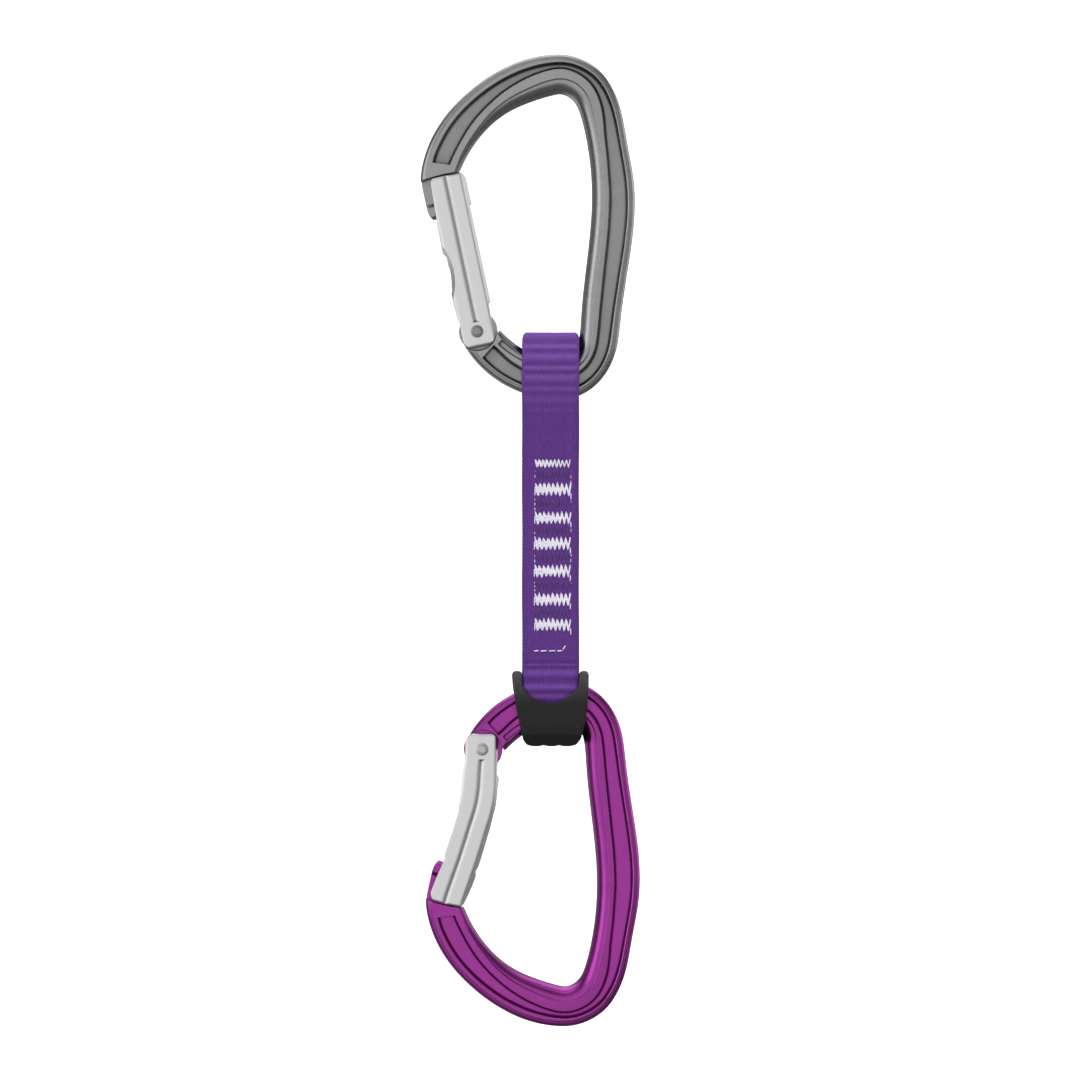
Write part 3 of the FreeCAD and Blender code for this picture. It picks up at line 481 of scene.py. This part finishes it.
def tape(name, path, fold, narrow, along_start=0.0, along_sign=1.0):
    """Woven tape swept along a (y, z) path.

    fold(z) is the height of soft cross folds, narrow(z) the width lost on each side.
    """
    path, run = resample(path, TAPE_STEP)
    travel = np.gradient(path, axis=0)
    travel /= np.linalg.norm(travel, axis=1)[:, None]
    normal = np.c_[-travel[:, 1], travel[:, 0]]

    # Closed cross section: one face, a round edge, the other face, a round edge.
    radius = TAPE_THICK / 2
    face_half = HALF_WIDTH - radius
    face = np.linspace(-face_half, face_half, FACE_POINTS)
    angle = np.linspace(0, math.pi, 9)[1:-1]
    one, none = np.ones(len(face)), np.zeros(len(angle))
    section_x = np.concatenate([face, face_half + radius * np.sin(angle),
                                face[::-1], -face_half - radius * np.sin(angle)])
    section_off = np.concatenate([radius * one, radius * np.cos(angle),
                                  -radius * one, -radius * np.cos(angle)])
    flat = np.concatenate([one, none, one, none])       # 1 on the faces, 0 on the edges
    size, rows = len(section_x), len(path)

    across = np.tile(section_x, (rows, 1))
    along = np.tile((along_start + along_sign * run)[:, None], (1, size))
    height = weave(across + WEAVE_SHIFT[0], along + WEAVE_SHIFT[1])
    # The selvedge is smoother and a little thicker.
    selvedge = np.clip((np.abs(across) - (HALF_WIDTH - 1.7)) / 0.5, 0, 1)
    relief = 0.060 * flat * (1 - 0.5 * selvedge) * (height - 0.6) + 0.05 * selvedge * flat
    wobble = (0.35 * np.sin(across * 0.55 + along * 0.9)
              + 0.25 * np.sin(across * 1.3 - along * 0.4))
    folds = fold(path[:, 1])[:, None] * (1 + 0.35 * wobble) * flat
    off = section_off + np.sign(section_off) * relief + folds
    edge_ripple = 0.05 * np.sin(along * 2 * np.pi / WEAVE_PITCH) * (1 - flat)
    x = (TAPE_X + across * (1 - narrow(path[:, 1])[:, None] / HALF_WIDTH)
         + np.sign(across) * edge_ripple + 0.05 * np.sin(along * 0.21))
    y = path[:, :1] + normal[:, :1] * off
    z = path[:, 1:] + normal[:, 1:] * off
    verts = np.stack([x, y, z], -1).reshape(-1, 3) * MM

    faces = []
    for start in range(0, (rows - 1) * size, size):
        for j in range(size):
            k = (j + 1) % size
            faces.append((start + j, start + k, start + size + k, start + size + j))
    faces.append(tuple(range(size))[::-1])
    faces.append(tuple(range((rows - 1) * size, rows * size)))

    # Painted shade value: low in the weave's hollows and fold valleys, high on yarn crowns and
    # fold crests; the edges and selvedge get their own levels.
    weave_and_fold_shade = (height * flat + 0.55 * (1 - flat)) * (1 - 0.25 * selvedge) + 0.12 * selvedge
    weave_and_fold_shade = np.clip(weave_and_fold_shade * 0.75 + 0.12 + 2.2 * folds, 0, 1)
    made = mesh_object(name, verts, faces, PURPLE,
                       uv=np.stack([across, along], -1).reshape(-1, 2), weave_and_fold_shade=weave_and_fold_shade.reshape(-1))
    bm = bmesh.new()
    bm.from_mesh(made.data)
    bmesh.ops.recalc_face_normals(bm, faces=bm.faces)
    bm.to_mesh(made.data)
    bm.free()
    return made


def upper_fold(z):
    fade = np.clip((z + 95.0) / 16.0, 0, 1) ** 1.3
    wave = np.cos(2 * np.pi * (z + 70.6 + 0.25 * np.sin(z * 1.1)) / 2.95)
    return 0.17 * fade * (wave + 0.25 * wave * np.abs(wave)) - 0.02 * fade


def upper_narrow(z):
    return 0.45 * np.clip((z + 71.4) / 1.6, 0, 1) ** 2


def lower_fold(z):
    fade = np.clip((-162.6 - z) / 3.0, 0, 1) * np.clip((z + 181.0) / 4.0, 0, 1)
    return 0.15 * fade * np.cos(2 * np.pi * (z + 0.4 * np.sin(z * 0.8)) / 3.0)


def lower_narrow(z):
    return np.interp(-z, [179.5, 185.6, 188.0], [0.0, 0.95, 1.45])


def nothing(z):
    return 0.0 * z


def loop_path(leg, center_z, rise):
    """Up or down the front leg, round a half ellipse and back along its mirror image."""
    half_depth = -leg[-1][0]
    turn = [(-half_depth * math.cos(math.pi * i / 12),
             center_z + rise * math.sin(math.pi * i / 12)) for i in range(13)]
    return leg + turn + [(-y, z) for y, z in reversed(leg)]


# Front legs of the loops as (y, z), from the sewn part outwards.
UPPER_LEG = [
    (-PLY_Y, SEWN_TOP), (-PLY_Y, -103.0), (-PLY_Y - 0.02, -100.6), (-1.12, -98.6),
    (-2.05, -95.6), (-3.35, -92.3), (-4.75, -89.0), (-5.72, -86.0), (-6.02, -83.2),
    (-6.02, -79.5)]
LOWER_LEG = [
    (-PLY_Y, SEWN_BOTTOM), (-PLY_Y, -163.5), (-PLY_Y - 0.02, -165.0), (-1.30, -166.2),
    (-2.60, -167.6), (-4.25, -169.1), (-5.45, -170.7), (-5.93, -172.6), (-5.97, -175.4),
    (-5.97, -178.5)]

upper_loop = tape("webbing_upper_loop", loop_path(UPPER_LEG, center_z=-76.05, rise=6.05),
                  upper_fold, upper_narrow)
lower_loop = tape("webbing_lower_loop", loop_path(LOWER_LEG, center_z=-181.9, rise=-4.78),
                  lower_fold, lower_narrow, along_start=100.0)
front_ply, back_ply = [
    tape(name, [(y, z) for z in (SEWN_TOP, -120.0, -140.0, SEWN_BOTTOM)],
         nothing, nothing, along_sign=-1.0)
    for name, y in (("webbing_front_ply", -PLY_Y), ("webbing_back_ply", PLY_Y))]

# ------------------------------------------------------------ thread, in mm
FACE_Y = PLY_Y + TAPE_THICK / 2 + 0.03      # webbing face from the mid plane
SIDES = (-1, 1)                             # front face, back face; also left, right
TACK_X, TACK_WIDTH = -2.3, 10.2
# Bar tacks from the top down: centre z, height.
TACKS = [(-106.9, 2.3), (-114.4, 3.7), (-122.7, 3.5), (-130.1, 3.6),
         (-138.0, 3.6), (-146.2, 3.6), (-153.5, 3.5)]
# Zigzag passes of a tack: x shift, z shift, width change, height factor, seed, phase, jitter.
TOP_PASSES = [(0.0, 0.0, 0.0, 1.0, 10, 0, 0.15),
              (0.15, -0.1, -0.4, 0.80, 15, 0, 0.15)]
PASSES = [(0.0, 0.10, 0.0, 1.0, 20, 0, 0.22),
          (0.22, -0.06, -0.2, 0.90, 40, 0, 0.22),
          (-0.10, 0.0, -0.6, 0.42, 60, 1, 0.20)]


def tube(name, strands, radius, material, sides=7):
    """One mesh of capped tubes along lists of points."""
    verts, faces, uv = [], [], []
    for strand in strands:
        points = np.array(strand, float)
        travel = np.gradient(points, axis=0)
        travel /= np.linalg.norm(travel, axis=1)[:, None] + 1e-12
        base = len(verts)
        length = 0.0
        for i, point in enumerate(points):
            if i:
                length += np.linalg.norm(point - points[i - 1])
            first = np.cross(travel[i], np.array([0.0, 1.0, 0.0]))
            if np.linalg.norm(first) < 1e-3:
                first = np.cross(travel[i], np.array([1.0, 0, 0]))
            first /= np.linalg.norm(first)
            second = np.cross(first, travel[i])
            for k in range(sides):
                angle = 2 * math.pi * k / sides
                spoke = first * math.cos(angle) + second * math.sin(angle)
                verts.append((point + radius * spoke) * MM)
                uv.append((k / sides, length))
        last = base + (len(points) - 1) * sides
        for ring in range(base, last, sides):
            for k in range(sides):
                q = (k + 1) % sides
                faces.append((ring + k, ring + q, ring + sides + q, ring + sides + k))
        faces.append(tuple(base + k for k in range(sides))[::-1])
        faces.append(tuple(last + k for k in range(sides)))
    return mesh_object(name, verts, faces, material, uv)


def stitch(start, end, side, lift=0.20, sink=0.16, count=7):
    """One stitch between (x, z) points, its ends sunk in the face and its middle lifted."""
    points = []
    for i in range(count):
        t = i / (count - 1)
        x, z = (a + (b - a) * t for a, b in zip(start, end))
        y = FACE_Y - sink + (lift + sink) * math.sin(math.pi * t) ** 0.6
        points.append((x, side * y, z))
    return points


def zigzag(x, z, width, height, cycles, side, seed, phase=0, jitter=0.12):
    """Zigzag centred on (x, z); phase 0 starts at the top, 1 at the bottom."""
    local = random.Random(seed)
    corners = []
    for i in range(cycles * 2 + 1):
        half = height / 2 if (i + phase) % 2 == 0 else -height / 2
        corner_z = z + half + local.uniform(-jitter, jitter)
        corner_x = x - width / 2 + width * i / (cycles * 2)
        corners.append((corner_x + local.uniform(-0.05, 0.05), corner_z))
    path = []
    for start, end in zip(corners, corners[1:]):
        points = stitch(start, end, side)
        path += points[1:] if path else points
    return path


def bar_tack(number, z, height):
    top = number == 1
    strands = []
    for side in SIDES:
        x = TACK_X + dice.uniform(-0.14, 0.14)
        for dx, dz, wider, factor, seed, phase, jitter in TOP_PASSES if top else PASSES:
            strands.append(zigzag(x + dx, z + dz, TACK_WIDTH + wider, height * factor,
                                  9 if top else 8, side, seed + number + side, phase, jitter))
        if not top:
            # Loose start and end of the tack.
            left, right = x - TACK_WIDTH / 2, x + TACK_WIDTH / 2
            strands.append(stitch((right + 0.05, z - height * 0.30),
                                  (right + 0.1, z - height * 0.5 - 1.0), side, lift=0.1))
            strands.append(stitch((left - 0.05, z + height * 0.2),
                                  (left - 0.12, z - height * 0.45), side, lift=0.1))
    return tube("bar_tack_thread_%d" % number, strands, 0.165, WHITE)


def end_row():
    """Row of straight stitches at the foot of the sewn part."""
    strands = []
    for side in SIDES:
        for left, right in ((-7.70, -6.40), (-5.85, -4.00), (-3.45, -1.55), (-1.05, 0.35)):
            strands.append(stitch((left, -161.02), (right, -160.95), side, lift=0.14, sink=0.2))
        strands.append(stitch((0.62, -160.7), (1.25, -159.5), side, lift=0.05, sink=0.2))
    return tube("end_stitch_thread", strands, 0.18, WHITE)


def tack_links():
    """White bits down both sides of the gaps between tacks, all but the last gap."""
    strands = []
    for side in SIDES:
        for (z_above, h_above), (z_below, h_below) in zip(TACKS[:-2], TACKS[1:-1]):
            for edge in SIDES:
                x = TACK_X + edge * (TACK_WIDTH / 2 + 0.1)
                z = z_above - h_above / 2 - 0.8 - dice.random() * 0.5
                while z > z_below + h_below / 2 + 0.6:
                    length = 0.6 + dice.random() * 0.7
                    if dice.random() < 0.66:
                        end = (x + dice.uniform(-0.1, 0.1), z - length)
                        strands.append(stitch((x, z), end, side, lift=0.02, sink=0.2, count=5))
                    z -= length + 0.45
    return tube("tack_link_thread", strands, 0.12, WHITE, sides=6)


def tone_zigzags():
    """Purple zigzags that fill the gaps between tacks, set a little deeper."""
    strands = []
    for side in SIDES:
        for i, ((z_above, h_above), (z_below, h_below)) in enumerate(zip(TACKS, TACKS[1:])):
            top = z_above - h_above / 2 - 0.3
            bottom = z_below + h_below / 2 + 0.3
            path = zigzag(TACK_X, (top + bottom) / 2, TACK_WIDTH + 0.4,
                          min(3.4, top - bottom), 8, side, 70 + i)
            strands.append([(x, y * 0.985, z) for x, y, z in path])
    return tube("tone_thread", strands, 0.10, LILAC, sides=6)


threads = []
for number, (z, height) in enumerate(TACKS, 1):
    tack = bar_tack(number, z, height)
    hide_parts("bar_tack_%d" % number)
    threads.append(tack)

row = end_row()
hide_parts("end_stitch_row")
links = tack_links()
tone_thread = tone_zigzags()
threads += [row, links, tone_thread]


# ------------------------------------------------------------------ keeper
def rubber_keeper():
    """The CAD keeper, remeshed and smoothed so that its corners are soft."""
    mesh = NODES["keeper"].data.copy()
    made = add_object("rubber_keeper", mesh)
    bm = bmesh.new()
    bm.from_mesh(mesh)
    bmesh.ops.remove_doubles(bm, verts=bm.verts, dist=1e-6)
    bm.to_mesh(mesh)
    bm.free()
    remesh = made.modifiers.new("remesh", "REMESH")
    remesh.mode = "VOXEL"
    remesh.voxel_size = 0.00024
    smooth = made.modifiers.new("smooth", "SMOOTH")
    smooth.factor = 0.5
    smooth.iterations = 14
    evaluated = made.evaluated_get(bpy.context.evaluated_depsgraph_get())
    soft = bpy.data.meshes.new_from_object(evaluated)
    made.modifiers.clear()
    made.data = soft
    soft.materials.clear()
    soft.materials.append(RUBBER)
    smooth_all(soft)
    return made


keeper = rubber_keeper()
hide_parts("keeper")
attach(keeper, "lower_carabiner")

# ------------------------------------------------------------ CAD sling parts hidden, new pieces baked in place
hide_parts("sling_upper_loop")
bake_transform(upper_loop)
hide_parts("sling_sewn_top", "sling_sewn_bottom")
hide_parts("sling_sewn_top", "sling_sewn_bottom")
for piece in [front_ply, back_ply] + threads:
    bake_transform(piece)
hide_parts("sling_lower_loop")
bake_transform(lower_loop)

# -------------------------------------------------------- stage, in metres
FLOOR_Z, WALL_TOP = -0.36, 3.5
FLOOR_FRONT, SWEEP_START = -3.5, 1.1    # y of the front edge and of the start of the curve
SWEEP_RADIUS = 0.5
STAGE_HALF_WIDTH = 4.0


def backdrop_sweep():
    """A floor that curves up into a wall behind."""
    profile = [(FLOOR_FRONT, FLOOR_Z)]
    for i in range(13):
        angle = math.pi / 2 * i / 12
        profile.append((SWEEP_START + SWEEP_RADIUS * math.sin(angle),
                        FLOOR_Z + SWEEP_RADIUS - SWEEP_RADIUS * math.cos(angle)))
    profile.append((SWEEP_START + SWEEP_RADIUS, WALL_TOP))
    verts = [(x, y, z) for x in (-STAGE_HALF_WIDTH, STAGE_HALF_WIDTH) for y, z in profile]
    n = len(profile)
    faces = [(i, i + 1, n + i + 1, n + i) for i in range(n - 1)]
    return mesh_object("backdrop_sweep", verts, faces, backdrop_material("backdrop"))


def area_light(name, location, target_z, width, height, power):
    """Rectangular light aimed at the Z axis and hidden from reflections."""
    data = bpy.data.lights.new(name, "AREA")
    data.energy = power
    data.shape = "RECTANGLE"
    data.size = width
    data.size_y = height
    light = bpy.data.objects.new(name, data)
    light.location = location
    aim = Vector((0, 0, target_z)) - Vector(location)
    light.rotation_euler = aim.to_track_quat("-Z", "Y").to_euler()
    bpy.context.scene.collection.objects.link(light)
    light.visible_glossy = False
    return light


backdrop = backdrop_sweep()
backdrop.visible_glossy = False
lights = [
    area_light("key", (-0.75, -0.95, 0.45), target_z=-0.12, width=0.40, height=1.0, power=6.5),
    area_light("fill", (0.90, -0.80, 0.00), target_z=-0.13, width=0.30, height=1.1, power=3.2),
    area_light("top", (0.0, -0.10, 0.75), target_z=-0.1, width=0.7, height=0.35, power=4.2),
    area_light("rim", (-0.70, 0.55, 0.20), target_z=-0.12, width=0.25, height=0.9, power=2.6),
]

# Soft round panels that only reflections see: direction, angle in degrees within which
# the panel is full, angle past which it is gone, strength.
PANELS = [
    ((-0.22, -0.95, 0.10), 16, 56, 0.60),      # front
    ((-0.88, -0.48, 0.12), 8, 27, 1.15),       # left
    ((0.97, 0.20, 0.12), 8, 26, 1.10),         # right
    ((0.60, 0.78, 0.15), 10, 34, 0.34),        # right, behind
    ((-0.62, 0.78, 0.0), 10, 34, 0.10),        # left, behind
    ((0.80, -0.60, 0.05), 6, 22, 0.35),        # right, front
    ((-0.10, 0.30, 0.95), 12, 52, 1.20),       # above
    ((-0.55, 0.60, -0.45), 8, 30, 0.45),       # low, left, behind
]
ROOM_REFLECTED, ROOM_LIGHT = 0.16, 0.52     # strength between panels, strength as plain light


def studio_world():
    """Even light for everything but reflections, which see the panels in a dim room."""
    world = bpy.data.worlds.new("studio")
    bpy.context.scene.world = world
    nodes = Nodes(world)
    direction = nodes.node("ShaderNodeTexCoord").outputs["Generated"]
    room = ROOM_REFLECTED
    for toward, inner, outer, strength in PANELS:
        closeness = nodes.dot(direction, Vector(toward).normalized())
        span = (math.cos(math.radians(outer)), math.cos(math.radians(inner)))
        panel = nodes.remap(closeness, span, (0.0, strength), interpolation_type="SMOOTHSTEP")
        room = nodes.plus(panel, room)
    choice = nodes.node("ShaderNodeMix", data_type="FLOAT")
    nodes.put(choice.inputs[0], nodes.node("ShaderNodeLightPath").outputs["Is Glossy Ray"])
    nodes.put(choice.inputs[2], ROOM_LIGHT)
    nodes.put(choice.inputs[3], room)
    background = nodes.node("ShaderNodeBackground")
    nodes.put(background.inputs["Color"], (1, 1, 1, 1))
    nodes.put(background.inputs["Strength"], choice.outputs[0])
    nodes.put(nodes.node("ShaderNodeOutputWorld").inputs[0], background.outputs[0])


studio_world()

camera_data = bpy.data.cameras.new("cam")
camera_data.lens = 180
camera_data.sensor_width = 36
camera = add_object("cam", camera_data)
camera.location = (-0.006, -1.56, -0.1290)
camera.rotation_euler = (math.radians(90), 0, 0)
bpy.context.scene.camera = camera
bpy.context.scene.view_settings.view_transform = "Standard"
